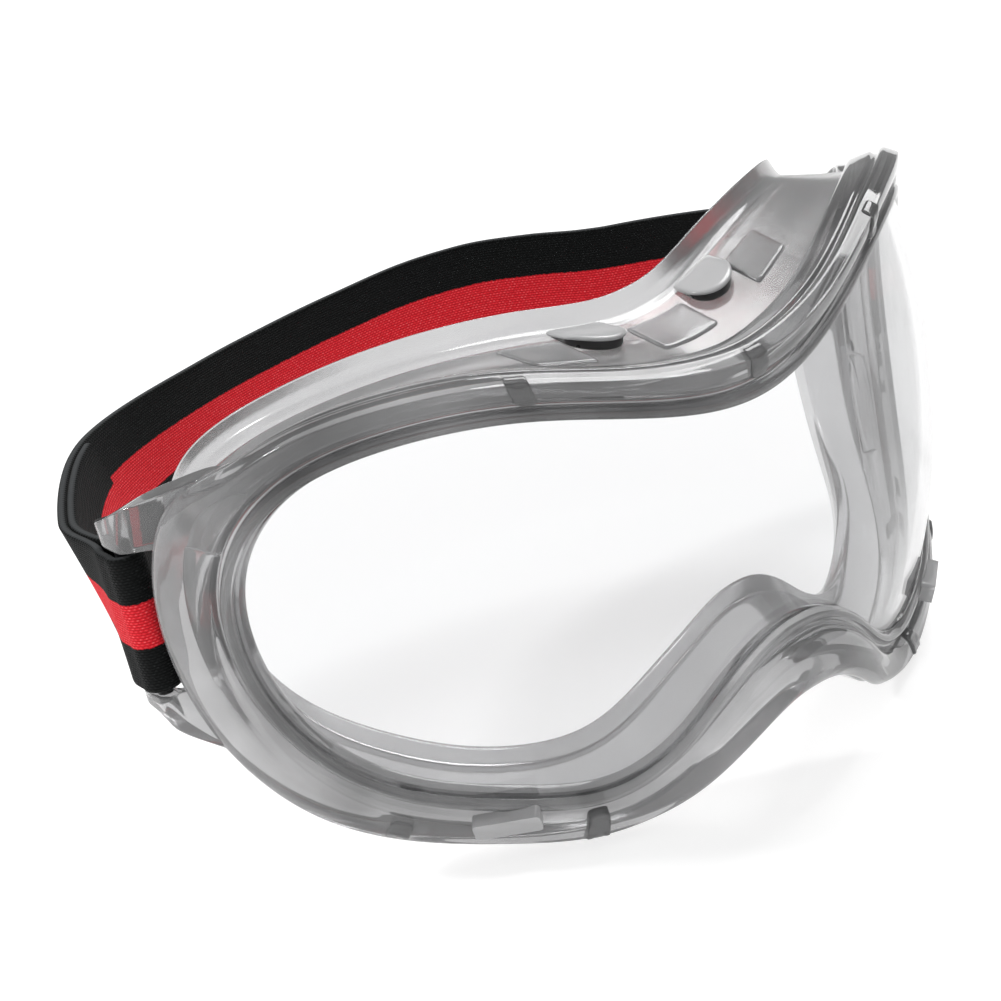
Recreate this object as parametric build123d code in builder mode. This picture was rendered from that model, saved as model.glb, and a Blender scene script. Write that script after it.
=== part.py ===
from build123d import *
import os
from math import asin, atan2, cos, pi, sin, sqrt

# Sports protective goggles. Millimetres. +X is the wearer's left, -Y is forward, +Z is up.
# The origin is the front apex of the lens surface, on the centre plane.

# ---- driving dimensions -------------------------------------------------------------------------
PLAN_RADIUS = 84.0          # wrap of the front round the face, seen from above
PROFILE_RADIUS = 130.0      # curve of the front from brow to cheek, seen from the side
LENS_FRONT = -3.2           # lens face, measured along the outward normal from the front surface
LENS_THICKNESS = 2.2
LENS_BITE = 2.2             # how far the lens reaches into its groove
NOSE_LIFT = 4.0             # how far the frame stands forward over the nose

WALL = 1.8                  # skirt wall
FLANGE = 1.5                # face flange
FLARE_TOP = 6.5             # width of the flange at the brow
FLARE_BOTTOM = 5.0          # width of the flange at the nose

STRAP_WIDTH = 25.0
WEBBING = 1.8
STRAP_RADIUS = 85.6         # plan radius of the relaxed strap
STRAP_CENTRE_Y = 53.4
STRAP_Z = -7.3              # height of the strap's centre line
STRAP_GAP = 26.6            # height between the two arms of a lug
BAR_Y = 75.5                # strap bar
BAR_LENGTH = 30.6
BAR_DEPTH = 4.0
BAR_THICKNESS = 2.4
BAR_INSET = 1.6             # the bar lies this far inside the strap's middle line

SLIDER_PLACE = 17.0         # distance along the strap from the bar to the slider
SLIDER_LENGTH = 11.0
SLIDER_RAIL = 2.0

# Half outline of the frame from the brow's centre round the temple to the nose's centre.
# Each row: frame's outer edge and window edge as (arc length, height) on the front surface,
# then the edge of the opening for the face as (x, y, z).
STATIONS = [
    ((0, 19.5), (0, 10.3), (0, 31.5, 18.5)),
    ((5, 19.8), (5, 10.6), (5, 31.8, 18.7)),
    ((21, 22.8), (20.5, 14.3), (20, 35.5, 21.5)),
    ((44, 28.6), (42, 20.2), (41, 44.5, 23)),
    ((68, 28.8), (64, 20.8), (56, 57.2, 19)),
    ((90, 22.5), (83, 15.5), (64.5, 68.9, 12)),
    ((106, 10), (95, 5.5), (66.8, 74.4, 3)),
    ((112.5, -7), (100.5, -7.5), (66.8, 74.6, -8)),
    ((111.5, -26), (99.5, -23), (65, 72.5, -18.5)),
    ((102, -43), (91.5, -36), (60.5, 66.5, -30)),
    ((84, -52.5), (77, -44.2), (51, 53.5, -38.7)),
    ((64, -56.8), (59, -48.8), (39.5, 44, -44)),
    ((44, -59), (41, -51.2), (27, 35, -44)),
    ((26, -55.5), (26, -45.3), (17, 29, -37.5)),
    ((12, -46), (12.5, -34.2), (8, 23.5, -29.5)),
    ((4, -41.7), (4, -30.2), (3, 22, -26.8)),
    ((0, -41.2), (0, -29.8), (0, 21.7, -26.4)),
]
NOSE_SHARE = [0] * 12 + [0.1, 0.4, 0.85, 0.98, 1]      # share of NOSE_LIFT at each station

UPPER_PEGS = {"left": (41, 25.6), "centre": (0, 16.4), "right": (-41, 25.6)}
LOWER_PEGS = {"outer": (85.5, -46.0), "inner": (47.5, -55.3)}
PEG_SIZE = (5.6, 3.4, 3.3)                        # height, width, depth
LOWER_INSERT_PLACE = (62.5, -51.4)
LOWER_INSERT_SIZE = (11.6, 3.6, 2.6)
HOODS = {"left": (12.5, 26.4), "right": (-12.5, 26.4)}
HOOD_SIZE = (10.6, 9.4)
HOOD_TOP = 24.6


# ---- the front surface --------------------------------------------------------------------------
def front_point(arc, height, lift=0.0):
    """A point of the toric front surface, lifted along its outward normal."""
    turn = arc / PLAN_RADIUS
    pitch = asin(height / PROFILE_RADIUS)
    reach = PLAN_RADIUS - PROFILE_RADIUS + (PROFILE_RADIUS + lift) * cos(pitch)
    return Vector(reach * sin(turn), PLAN_RADIUS - reach * cos(turn), (PROFILE_RADIUS + lift) * sin(pitch))


def front_normal(arc, height):
    turn = arc / PLAN_RADIUS
    pitch = asin(height / PROFILE_RADIUS)
    return Vector(sin(turn) * cos(pitch), -cos(turn) * cos(pitch), sin(pitch))


def rim_axes(index):
    """Window edge, unit vector across the rim, unit vector out of it, and the rim's width."""
    outer, window, _ = STATIONS[index]
    start = front_point(*window)
    end = front_point(*outer, lift=NOSE_LIFT * NOSE_SHARE[index])
    across = (end - start).normalized()
    normal = front_normal(*window)
    out = (normal - across * normal.dot(across)).normalized()
    return start, across, out, (end - start).length


def section(origin, across, out, points):
    """The plane of two unit vectors, and a closed profile in it."""
    return Plane(origin=origin, x_dir=across, z_dir=across.cross(out)), points


def lofted_half(profiles):
    """One half of a closed ring, lofted through its profiles, and its mirror image."""
    with BuildPart() as ring:
        for plane, points in profiles:
            with BuildSketch(plane):
                with BuildLine():
                    Polyline(*points, close=True)
                make_face()
        loft()
        mirror(about=Plane.YZ)
    return ring.part


# ---- lens ---------------------------------------------------------------------------------------
def make_lens():
    """A toric pane: a revolved band, trimmed by a ring that follows the window."""
    trims = []
    for index in range(len(STATIONS)):
        start, across, out, _ = rim_axes(index)
        inside, outside, low, high = LENS_BITE, LENS_BITE + 6, LENS_FRONT - LENS_THICKNESS - 3, 0.5
        box = [(inside, low), (outside, low), (outside, high), (inside, high)]
        trims.append(section(start, across, out, box))
    trim = lofted_half(trims)

    face_radius = PROFILE_RADIUS + LENS_FRONT
    rear_radius = face_radius - LENS_THICKNESS
    half_height = 64.0
    with BuildPart() as pane:
        with BuildSketch(Plane.YZ):
            with Locations((PROFILE_RADIUS, 0)):
                Circle(face_radius)
                Circle(rear_radius, mode=Mode.SUBTRACT)
            with Locations((0, 0)):
                Rectangle(60, 2 * half_height, mode=Mode.INTERSECT)
        revolve(axis=Axis((0, PLAN_RADIUS, 0), (0, 0, 1)), revolution_arc=170)
    turned = pane.part.rotate(Axis((0, PLAN_RADIUS, 0), (0, 0, 1)), -85)
    cut = turned - trim
    return cut.solids().sort_by_distance((0, 0, -5))[0]


# ---- frame --------------------------------------------------------------------------------------
def rim_profile(width):
    """Section of the rim from the window edge outwards."""
    return [
        (0.0, -2.6), (0.7, -1.9), (2.0, -1.9), (2.7, -2.9), (3.6, -2.9), (4.3, -1.0), (5.6, -0.1),
        (width - 2.0, 0.2), (width - 0.5, -0.6), (width, -2.2), (width, -8.6), (width - 0.9, -9.5),
        (width - 4.3, -9.5), (width - 4.3, -7.4), (0.0, -7.4),
    ]


def lug_section(top, bottom, inward, thickness):
    """A four-cornered section of a lug arm, from its outer face inwards."""
    across = (bottom - top).normalized()
    depth = inward - across * inward.dot(across)
    span = (bottom - top).length
    plane = Plane(origin=top, x_dir=across, z_dir=across.cross(depth))
    return plane, [(0, 0), (span, 0), (span, thickness), (0, thickness)]


def lug_arm(root_top, root_bottom, knee_heights, tip_heights):
    """One arm of a lug on the +X side: it tapers backwards from the rim to beyond the strap bar."""
    root_depth, knee_depth, tip_depth = 4.8, 5.6, 3.6
    knee, tip = Vector(84.3, 70.0, 0), Vector(82.0, 80.5, 0)
    sink = -1.0
    ends = [front_point(*place, lift=sink) for place in (root_top, root_bottom)]
    middle = [(a + b) / 2 for a, b in zip(root_top, root_bottom)]
    sections = [lug_section(*ends, front_normal(*middle) * -1, root_depth)]
    for corner, heights, depth in ((knee, knee_heights, knee_depth), (tip, tip_heights, tip_depth)):
        top, bottom = (Vector(corner.X, corner.Y, height) for height in heights)
        sections.append(lug_section(top, bottom, Vector(-1, 0, 0), depth))
    with BuildPart() as arm:
        for plane, points in sections:
            with BuildSketch(plane):
                with BuildLine():
                    Polyline(*points, close=True)
                make_face()
        loft()
    return arm.part


def make_frame(lens, bars, inlays):
    profiles = []
    for index in range(len(STATIONS)):
        start, across, out, width = rim_axes(index)
        profiles.append(section(start, across, out, rim_profile(width)))
    rim = lofted_half(profiles)
    gap_top = STRAP_Z + STRAP_GAP / 2
    gap_bottom = STRAP_Z - STRAP_GAP / 2
    upper = lug_arm((91, 20.5), (107.5, gap_top), (13.5, gap_top), (9.9, gap_top))
    lower = lug_arm((110.3, gap_bottom), (103.0, -40.5), (gap_bottom, -25.8), (gap_bottom, -23.2))
    with BuildPart() as frame:
        add(rim)
        for arm in (upper, lower):
            add(arm)
            add(arm.mirror(Plane.YZ))
        for other in (lens, *bars, *inlays):
            add(other, mode=Mode.SUBTRACT)
    return frame.part.solids().sort_by(SortBy.VOLUME)[-1]


# ---- skirt --------------------------------------------------------------------------------------
def opening_point(index):
    return Vector(*STATIONS[index][2])


def opening_tangent(index):
    """Direction along the opening, from the brow towards the nose."""
    last = len(STATIONS) - 1
    if index in (0, last):
        return Vector(1 if index == 0 else -1, 0, 0)
    return (opening_point(index + 1) - opening_point(index - 1)).normalized()


def skirt_section(index):
    """Wall from the rim to the face opening, and the flange that flares from it."""
    last = len(STATIONS) - 1
    start, across, out, width = rim_axes(index)
    root = start + across * (width - 2.7) + out * -8.7
    edge = opening_point(index)
    share = index / last
    flare = FLARE_TOP * (1 - share) + FLARE_BOTTOM * share
    turn = atan2(edge.X, 84) * 1.45
    toward_head = Vector(-sin(turn), cos(turn), 0)
    outward = opening_tangent(index).cross(toward_head).normalized()
    tip = edge + outward * flare + toward_head * 1.5
    flange = (tip - edge).normalized()
    wall = (root - edge)
    forward = (wall - flange * wall.dot(flange)).normalized()
    reach_a, reach_c = wall.dot(flange), wall.dot(forward)
    length = sqrt(reach_a ** 2 + reach_c ** 2)
    side = (reach_c / length, -reach_a / length)
    half = WALL / 2
    tip_a = (tip - edge).length
    points = [
        (0, 0), (tip_a, -0.3), (tip_a, 0.5), (half * side[0] + 1.9, FLANGE + 0.4),
        (reach_a + half * side[0], reach_c + half * side[1]),
        (reach_a - half * side[0], reach_c - half * side[1]),
        (-half * side[0], 1.6),
    ]
    return section(edge, flange, forward, points)


def make_skirt(frame):
    """The skirt, seated on the back of the frame, with vent slots under each hood."""
    body = lofted_half([skirt_section(index) for index in range(len(STATIONS))])
    slot_length, slot_width, slot_pitch = 5.4, 1.5, 2.8
    with BuildPart() as skirt:
        add(body)
        add(frame, mode=Mode.SUBTRACT)
        for place in HOODS.values():
            with BuildSketch(Plane.XY.offset(10)):
                with Locations(place):
                    with GridLocations(slot_pitch, 1, 3, 1):
                        SlotOverall(slot_length, slot_width, rotation=90)
            extrude(amount=20, mode=Mode.SUBTRACT)
    return skirt.part.solids().sort_by(SortBy.VOLUME)[-1]


def make_hood(place, skirt):
    """A hood over the vent slots: closed above, open to the sides under its lip."""
    width, depth = HOOD_SIZE
    top, foot = HOOD_TOP, 15.0
    roof, wall, mouth_height = 0.9, 1.2, 1.2
    with BuildPart() as hood:
        with BuildSketch(Plane.XY.offset(foot)):
            with Locations(place):
                RectangleRounded(width, depth, 3.8)
        extrude(amount=top - foot)
        fillet(hood.faces().sort_by(Axis.Z)[-1].edges(), 0.8)
        with BuildSketch(Plane.XY.offset(foot)):
            with Locations(place):
                RectangleRounded(width - 2 * wall, depth - 2 * wall, 2.6)
        extrude(amount=top - roof - foot, mode=Mode.SUBTRACT)
        with BuildSketch(Plane.XY.offset(top - roof - mouth_height)):
            with Locations((place[0], place[1] - depth / 2)):
                Rectangle(width - 6, 4)
        extrude(amount=mouth_height, mode=Mode.SUBTRACT)
        add(skirt, mode=Mode.SUBTRACT)
    return hood.part.solids().sort_by(Axis.Z)[-1]


# ---- small parts set into the rim ---------------------------------------------------------------
def inlay_plane(arc, height, lift):
    normal = front_normal(arc, height)
    return Plane(origin=front_point(arc, height, lift), x_dir=Vector(0, 0, 1).cross(normal), z_dir=normal)


def make_peg(arc, height):
    tall, wide, deep = PEG_SIZE
    stand = 0.5
    with BuildPart() as peg:
        with BuildSketch(inlay_plane(arc, height, stand)):
            SlotOverall(tall, wide, rotation=90)
        extrude(amount=-deep)
        fillet(peg.faces().sort_by_distance(front_point(arc, height, stand + 5))[0].edges(), 0.6)
    return peg.part


def make_lower_insert(arc, height):
    """A pale plug that closes a slot in the bottom of the rim."""
    wide, tall, deep = LOWER_INSERT_SIZE
    stand = 0.3
    with BuildPart() as insert:
        with BuildSketch(inlay_plane(arc, height, stand)):
            RectangleRounded(wide, tall, 0.8)
        extrude(amount=-deep)
    return insert.part


# ---- strap --------------------------------------------------------------------------------------
BAR_ANGLE = asin((BAR_Y - STRAP_CENTRE_Y) / STRAP_RADIUS)


def strap_point(along, lift):
    """A plan point: distance back from the bar along the strap's arc, and outward from it."""
    angle = BAR_ANGLE + along / STRAP_RADIUS
    reach = STRAP_RADIUS + lift
    return (reach * cos(angle), STRAP_CENTRE_Y + reach * sin(angle))


def strap_arc(start, end, lift):
    middle = (start + end) / 2
    return ThreePointArc(*(strap_point(along, lift) for along in (start, middle, end)))


def band(start, end, low, high, width=STRAP_WIDTH):
    """A piece of webbing that follows the strap's arc."""
    with BuildPart() as piece:
        with BuildSketch(Plane.XY.offset(STRAP_Z - width / 2)):
            with BuildLine():
                strap_arc(start, end, low)
                strap_arc(start, end, high)
                Line(strap_point(start, low), strap_point(start, high))
                Line(strap_point(end, low), strap_point(end, high))
            make_face()
        extrude(amount=width)
    return piece.part


STRAP_LENGTH = STRAP_RADIUS * (pi - 2 * BAR_ANGLE)      # from bar to bar
LOOP_END = 10.5                                         # where a loop's two layers meet
FOLD_END = 46.0                                         # end of the sewn fold on the right


def make_bar():
    plane = Plane(origin=(*strap_point(0, -BAR_INSET), STRAP_Z - BAR_LENGTH / 2),
                  x_dir=(-sin(BAR_ANGLE), cos(BAR_ANGLE), 0), z_dir=(0, 0, 1))
    with BuildPart() as bar:
        with BuildSketch(plane):
            SlotOverall(BAR_DEPTH, BAR_THICKNESS)
        extrude(amount=BAR_LENGTH)
    return bar.part


def make_loop():
    """Webbing folded round the bar, closing to two layers behind it."""
    room_front, room_side, meet = 3.2, 1.7, 8.5
    skin_front, skin_side = room_front + WEBBING, room_side + WEBBING
    shoulder = 2.4
    outside, inside = skin_side - BAR_INSET, -skin_side - BAR_INSET
    room_outside, room_inside = room_side - BAR_INSET, -room_side - BAR_INSET
    with BuildPart() as loop:
        with BuildSketch(Plane.XY.offset(STRAP_Z - STRAP_WIDTH / 2)):
            with BuildLine():
                Spline(strap_point(-shoulder, outside), strap_point(-skin_front, -BAR_INSET),
                       strap_point(-shoulder, inside),
                       tangents=[(sin(BAR_ANGLE), -cos(BAR_ANGLE)), (-sin(BAR_ANGLE), cos(BAR_ANGLE))])
                Polyline(strap_point(-shoulder, inside), strap_point(shoulder, inside),
                         strap_point(LOOP_END, -WEBBING), strap_point(LOOP_END, WEBBING),
                         strap_point(shoulder, outside), strap_point(-shoulder, outside))
            make_face()
            with BuildLine():
                Polyline(strap_point(-room_front, -BAR_INSET - 0.6), strap_point(-shoulder, room_inside),
                         strap_point(shoulder, room_inside), strap_point(meet, -0.05),
                         strap_point(meet, 0.05), strap_point(shoulder, room_outside),
                         strap_point(-shoulder, room_outside),
                         strap_point(-room_front, 0.6 - BAR_INSET), close=True)
            make_face(mode=Mode.SUBTRACT)
        extrude(amount=STRAP_WIDTH)
    return loop.part


def make_stitching(along, lift, rows=6):
    """Bar tacks: short raised threads across the webbing."""
    tack_length, tack_thickness, stand = 6.0, 0.5, 0.3
    pitch = STRAP_WIDTH / rows
    end = along + tack_length
    with BuildPart() as tacks:
        for row in range(rows):
            height = STRAP_Z + (row - (rows - 1) / 2) * pitch
            with BuildSketch(Plane.XY.offset(height - tack_thickness / 2)):
                with BuildLine():
                    strap_arc(along, end, lift)
                    strap_arc(along, end, lift + stand)
                    Line(strap_point(along, lift), strap_point(along, lift + stand))
                    Line(strap_point(end, lift), strap_point(end, lift + stand))
                make_face()
            extrude(amount=tack_thickness)
    return tacks.part


# ---- slider -------------------------------------------------------------------------------------
CENTRE_BAR = (-3.4, -1.8)        # inner and outer face of the slider's centre bar
OUTER_BAR = (2.2, 4.0)           # the same of its two outer bars


def make_slider():
    """A three-bar slider: two bars outside the strap, one inside it, joined by two rails."""
    middle = SLIDER_PLACE
    half = SLIDER_LENGTH / 2
    bar = 2.2
    inside = STRAP_WIDTH + 0.8
    full = inside + 2 * SLIDER_RAIL
    with BuildPart() as slider:
        add(band(middle - half, middle - half + bar, *OUTER_BAR, width=full))
        add(band(middle + half - bar, middle + half, *OUTER_BAR, width=full))
        add(band(middle - bar / 2, middle + bar / 2, *CENTRE_BAR, width=full))
        add(band(middle - half, middle + half, CENTRE_BAR[0], OUTER_BAR[1], width=full))
        add(band(middle - half - 1, middle + half + 1, CENTRE_BAR[1], OUTER_BAR[0], width=inside),
            mode=Mode.SUBTRACT)
        for start, end in ((middle - half - 1, middle - bar / 2), (middle + bar / 2, middle + half + 1)):
            add(band(start, end, CENTRE_BAR[0] - 1, CENTRE_BAR[1] + 0.5, width=inside), mode=Mode.SUBTRACT)
        add(band(middle - half + bar, middle + half - bar, OUTER_BAR[0] - 1, OUTER_BAR[1] + 1, width=inside),
            mode=Mode.SUBTRACT)
    return slider.part


def make_slider_loop():
    """The strap's fixed end, sewn round the slider's centre bar."""
    middle = SLIDER_PLACE
    wall = 1.0
    low, high = CENTRE_BAR[0] - 0.1 - wall, CENTRE_BAR[1] + 0.1 + wall
    with BuildPart() as loop:
        add(band(middle - 4.6, middle + 2.5, low, high))
        add(band(middle - 3.6, middle + 1.5, low + wall, high - wall, width=STRAP_WIDTH + 2),
            mode=Mode.SUBTRACT)
    return loop.part


# ---- assembly -----------------------------------------------------------------------------------
def save(shape, name):
    solids = shape.solids()
    piece = Compound(children=list(solids)) if len(solids) > 1 else solids[0]
    piece.label = name
    export_step(piece, f"parts/{name}.step")
    return piece


def other_side(shape):
    return shape.mirror(Plane.YZ)


os.makedirs("parts", exist_ok=True)

lens = make_lens()
save(lens, "lens")

bar = make_bar()
bars = {"left": bar, "right": other_side(bar)}
pegs = {f"lens_peg_upper_{side}": make_peg(*place) for side, place in UPPER_PEGS.items()}
for place_name, place in LOWER_PEGS.items():
    peg = make_peg(*place)
    pegs[f"lens_peg_lower_left_{place_name}"] = peg
    pegs[f"lens_peg_lower_right_{place_name}"] = other_side(peg)
insert = make_lower_insert(*LOWER_INSERT_PLACE)
inserts = {"lower_insert_left": insert, "lower_insert_right": other_side(insert)}

frame = make_frame(lens, bars.values(), [*pegs.values(), *inserts.values()])
save(frame, "front_frame")
skirt = make_skirt(frame)
save(skirt, "face_skirt")
for side, place in HOODS.items():
    save(make_hood(place, skirt), f"top_vent_hood_{side}")
for side, shape in bars.items():
    save(shape, f"strap_bar_{side}")
for name, shape in {**pegs, **inserts}.items():
    save(shape, name)

loop = make_loop()
save(loop, "strap_loop_left")
save(other_side(loop), "strap_loop_right")
save(band(LOOP_END, STRAP_LENGTH - LOOP_END, 0, WEBBING), "strap_band")
save(band(STRAP_LENGTH - FOLD_END, STRAP_LENGTH - LOOP_END, -WEBBING, 0), "strap_fold_right")
save(make_stitching(STRAP_LENGTH - FOLD_END + 1, WEBBING), "strap_stitching")
save(make_slider(), "slider")
save(make_slider_loop(), "slider_loop")
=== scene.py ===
import math
import bmesh
import bpy
import numpy as np
from mathutils import Matrix, Vector


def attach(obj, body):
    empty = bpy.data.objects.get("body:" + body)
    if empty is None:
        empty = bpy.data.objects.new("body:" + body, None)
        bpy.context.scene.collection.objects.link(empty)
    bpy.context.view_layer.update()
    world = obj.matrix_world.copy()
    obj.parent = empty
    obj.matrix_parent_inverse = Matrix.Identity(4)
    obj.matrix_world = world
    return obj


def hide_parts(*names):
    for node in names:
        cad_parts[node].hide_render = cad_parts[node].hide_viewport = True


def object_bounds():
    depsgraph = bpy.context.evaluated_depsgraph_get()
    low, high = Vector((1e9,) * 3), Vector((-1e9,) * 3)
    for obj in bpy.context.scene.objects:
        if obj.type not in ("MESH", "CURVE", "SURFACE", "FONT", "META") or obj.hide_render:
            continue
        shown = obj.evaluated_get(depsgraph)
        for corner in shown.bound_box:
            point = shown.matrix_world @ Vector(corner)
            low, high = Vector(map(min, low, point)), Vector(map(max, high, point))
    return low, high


# Sports protective goggles. Lengths are worked out in millimetres in the part's frame, and the
# meshes are made in metres.
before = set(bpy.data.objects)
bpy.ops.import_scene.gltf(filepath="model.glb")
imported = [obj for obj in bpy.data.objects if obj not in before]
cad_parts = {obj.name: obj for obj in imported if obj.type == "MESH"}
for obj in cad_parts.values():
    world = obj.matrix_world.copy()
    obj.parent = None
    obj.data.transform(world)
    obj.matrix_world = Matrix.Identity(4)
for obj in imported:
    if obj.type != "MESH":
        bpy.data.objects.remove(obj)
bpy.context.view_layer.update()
MM = 0.001

# ---- the same driving dimensions as the CAD part ------------------------------------------------
PLAN, PROFILE = 84.0, 130.0
LENS_FRONT, LENS_THICKNESS, LENS_BITE, LENS_PLAY = -3.2, 2.2, 2.2, 0.05
NOSE_LIFT = 4.0
STATIONS = [
    # outer edge (arc, height), window edge (arc, height), opening (x, y, z), share of the nose lift
    ((0, 19.5), (0, 10.3), (0, 31.5, 18.5), 0),
    ((5, 19.8), (5, 10.6), (5, 31.8, 18.7), 0),
    ((21, 22.8), (20.5, 14.3), (20, 35.5, 21.5), 0),
    ((44, 28.6), (42, 20.2), (41, 44.5, 23), 0),
    ((68, 28.8), (64, 20.8), (56, 57.2, 19), 0),
    ((90, 22.5), (83, 15.5), (64.5, 68.9, 12), 0),
    ((106, 10), (95, 5.5), (66.8, 74.4, 3), 0),
    ((112.5, -7), (100.5, -7.5), (66.8, 74.6, -8), 0),
    ((111.5, -26), (99.5, -23), (65, 72.5, -18.5), 0),
    ((102, -43), (91.5, -36), (60.5, 66.5, -30), 0),
    ((84, -52.5), (77, -44.2), (51, 53.5, -38.7), 0),
    ((64, -56.8), (59, -48.8), (39.5, 44, -44), 0),
    ((44, -59), (41, -51.2), (27, 35, -44), 0.1),
    ((26, -55.5), (26, -45.3), (17, 29, -37.5), 0.4),
    ((12, -46), (12.5, -34.2), (8, 23.5, -29.5), 0.85),
    ((4, -41.7), (4, -30.2), (3, 22, -26.8), 0.98),
    ((0, -41.2), (0, -29.8), (0, 21.7, -26.4), 1),
]
RING = 432                       # samples round the frame


# ---- numbers ------------------------------------------------------------------------------------
def periodic_spline(knots, values, at):
    """Periodic cubic spline through values at knots, of which the last repeats the first."""
    n = len(knots) - 1
    values = np.asarray(values, float).reshape(n, -1)
    h = np.diff(knots)
    system = np.zeros((n, n))
    right = np.zeros((n, values.shape[1]))
    for i in range(n):
        a, b = h[i - 1], h[i]
        system[i, i - 1] += a
        system[i, i] += 2 * (a + b)
        system[i, (i + 1) % n] += b
        right[i] = 6 * ((values[(i + 1) % n] - values[i]) / b - (values[i] - values[i - 1]) / a)
    bend = np.linalg.solve(system, right)
    at = np.mod(np.asarray(at, float) - knots[0], knots[-1] - knots[0]) + knots[0]
    k = np.clip(np.searchsorted(knots, at, side="right") - 1, 0, n - 1)
    k1 = (k + 1) % n
    hk = h[k][:, None]
    t = (at - knots[k])[:, None]
    u = hk - t
    return (bend[k] * u ** 3 + bend[k1] * t ** 3) / (6 * hk) \
        + (values[k] / hk - bend[k] * hk / 6) * u \
        + (values[k1] / hk - bend[k1] * hk / 6) * t


def hermite(knots, values, at):
    """Cubic through values with slopes limited so that it never overshoots."""
    knots, values = np.asarray(knots, float), np.asarray(values, float)
    d = np.diff(values) / np.diff(knots)
    m = np.zeros(len(values))
    m[0], m[-1] = d[0], d[-1]
    for i in range(1, len(values) - 1):
        m[i] = 0 if d[i - 1] * d[i] <= 0 else 2 * d[i - 1] * d[i] / (d[i - 1] + d[i])
    k = np.clip(np.searchsorted(knots, at, side="right") - 1, 0, len(knots) - 2)
    h = knots[k + 1] - knots[k]
    t = (at - knots[k]) / h
    return ((2 * t ** 3 - 3 * t ** 2 + 1) * values[k] + (t ** 3 - 2 * t ** 2 + t) * h * m[k]
            + (3 * t ** 2 - 2 * t ** 3) * values[k + 1] + (t ** 3 - t ** 2) * h * m[k + 1])


def front_point(arc, height, lift=0.0):
    """A point of the goggles' toric front, lifted off it by a distance."""
    turn = np.asarray(arc) / PLAN
    pitch = np.arcsin(np.asarray(height) / PROFILE)
    reach = PLAN - PROFILE + (PROFILE + lift) * np.cos(pitch)
    return np.stack([reach * np.sin(turn), PLAN - reach * np.cos(turn),
                     (PROFILE + lift) * np.sin(pitch)], -1)


def front_normal(arc, height):
    turn = np.asarray(arc) / PLAN
    pitch = np.arcsin(np.asarray(height) / PROFILE)
    return np.stack([np.sin(turn) * np.cos(pitch), -np.cos(turn) * np.cos(pitch),
                     np.sin(pitch)], -1)


def unit(v):
    return v / np.linalg.norm(v, axis=-1, keepdims=True)


def smooth(t):
    """Eases from 0 to 1 as t goes from 0 to 1."""
    t = np.clip(t, 0, 1)
    return t * t * (3 - 2 * t)


def rounded(points, radii, steps=5):
    """A closed outline with its corners rounded: one radius for all, or one for each corner."""
    out = []
    n = len(points)
    for i, radius in enumerate(np.broadcast_to(radii, n)):
        p = np.array(points[i], float)
        a, b = np.array(points[i - 1], float), np.array(points[(i + 1) % n], float)
        la, lb = np.linalg.norm(a - p), np.linalg.norm(b - p)
        reach = min(radius, la * 0.48, lb * 0.48)
        start, end = p + (a - p) / la * reach, p + (b - p) / lb * reach
        for s in np.linspace(0, 1, steps):
            out.append(start * (1 - s) ** 2 + p * 2 * s * (1 - s) + end * s ** 2)
    return np.array(out)


def densified(outline, spacing):
    """A closed outline with points added along its sides, about one every spacing."""
    out = []
    for a, b in zip(outline, np.roll(outline, -1, 0)):
        count = max(1, int(np.linalg.norm(b - a) / spacing))
        out += [a + (b - a) * s for s in np.linspace(0, 1, count, endpoint=False)]
    return np.array(out)


# ---- meshes -------------------------------------------------------------------------------------
def mesh_object(name, points, faces, uv=None):
    mesh = bpy.data.meshes.new(name)
    mesh.from_pydata([tuple(p) for p in np.asarray(points) * MM], [], faces)
    if uv is not None:
        layer = mesh.uv_layers.new(name="uv")
        corner = np.zeros(len(mesh.loops), int)
        mesh.loops.foreach_get("vertex_index", corner)
        layer.data.foreach_set("uv", np.asarray(uv, np.float32)[corner].ravel())
    obj = bpy.data.objects.new(name, mesh)
    bpy.context.collection.objects.link(obj)
    return obj


def grid_faces(rows, columns, close_rows=False, close_columns=False, first=0):
    """The four-sided faces of a grid of points that starts at index first."""
    faces = []
    for i in range(rows if close_rows else rows - 1):
        for j in range(columns if close_columns else columns - 1):
            a, b = i * columns + j, i * columns + (j + 1) % columns
            k = (i + 1) % rows
            c, d = k * columns + (j + 1) % columns, k * columns + j
            faces.append((first + a, first + b, first + c, first + d))
    return faces


def outward(obj):
    """Makes the faces of a closed mesh point outwards."""
    bm = bmesh.new()
    bm.from_mesh(obj.data)
    bmesh.ops.recalc_face_normals(bm, faces=bm.faces)
    if bm.calc_volume(signed=True) < 0:
        bmesh.ops.reverse_faces(bm, faces=bm.faces)
    bm.to_mesh(obj.data)
    bm.free()


def shade(obj, angle):
    """Smooth shading, with a sharp edge where two faces meet at more than the angle in degrees."""
    obj.data.shade_smooth()
    bm = bmesh.new()
    bm.from_mesh(obj.data)
    limit = math.radians(angle)
    for edge in bm.edges:
        edge.smooth = len(edge.link_faces) == 2 and edge.calc_face_angle(0) < limit
    bm.to_mesh(obj.data)
    bm.free()


def united(target, tools):
    """The exact union of target with the tools, which are used up."""
    for tool in tools:
        step = target.modifiers.new("union", "BOOLEAN")
        step.operation, step.solver, step.object = "UNION", "EXACT", tool
        bpy.context.view_layer.update()
        graph = bpy.context.evaluated_depsgraph_get()
        mesh = bpy.data.meshes.new_from_object(target.evaluated_get(graph))
        target.modifiers.clear()
        target.data = mesh
        bpy.data.objects.remove(tool)


def ring_object(name, rows):
    """A closed ring from rows of section points."""
    count, points = rows.shape[0], rows.shape[1]
    obj = mesh_object(name, rows.reshape(-1, 3), grid_faces(count, points, True, True))
    outward(obj)
    return obj


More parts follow.
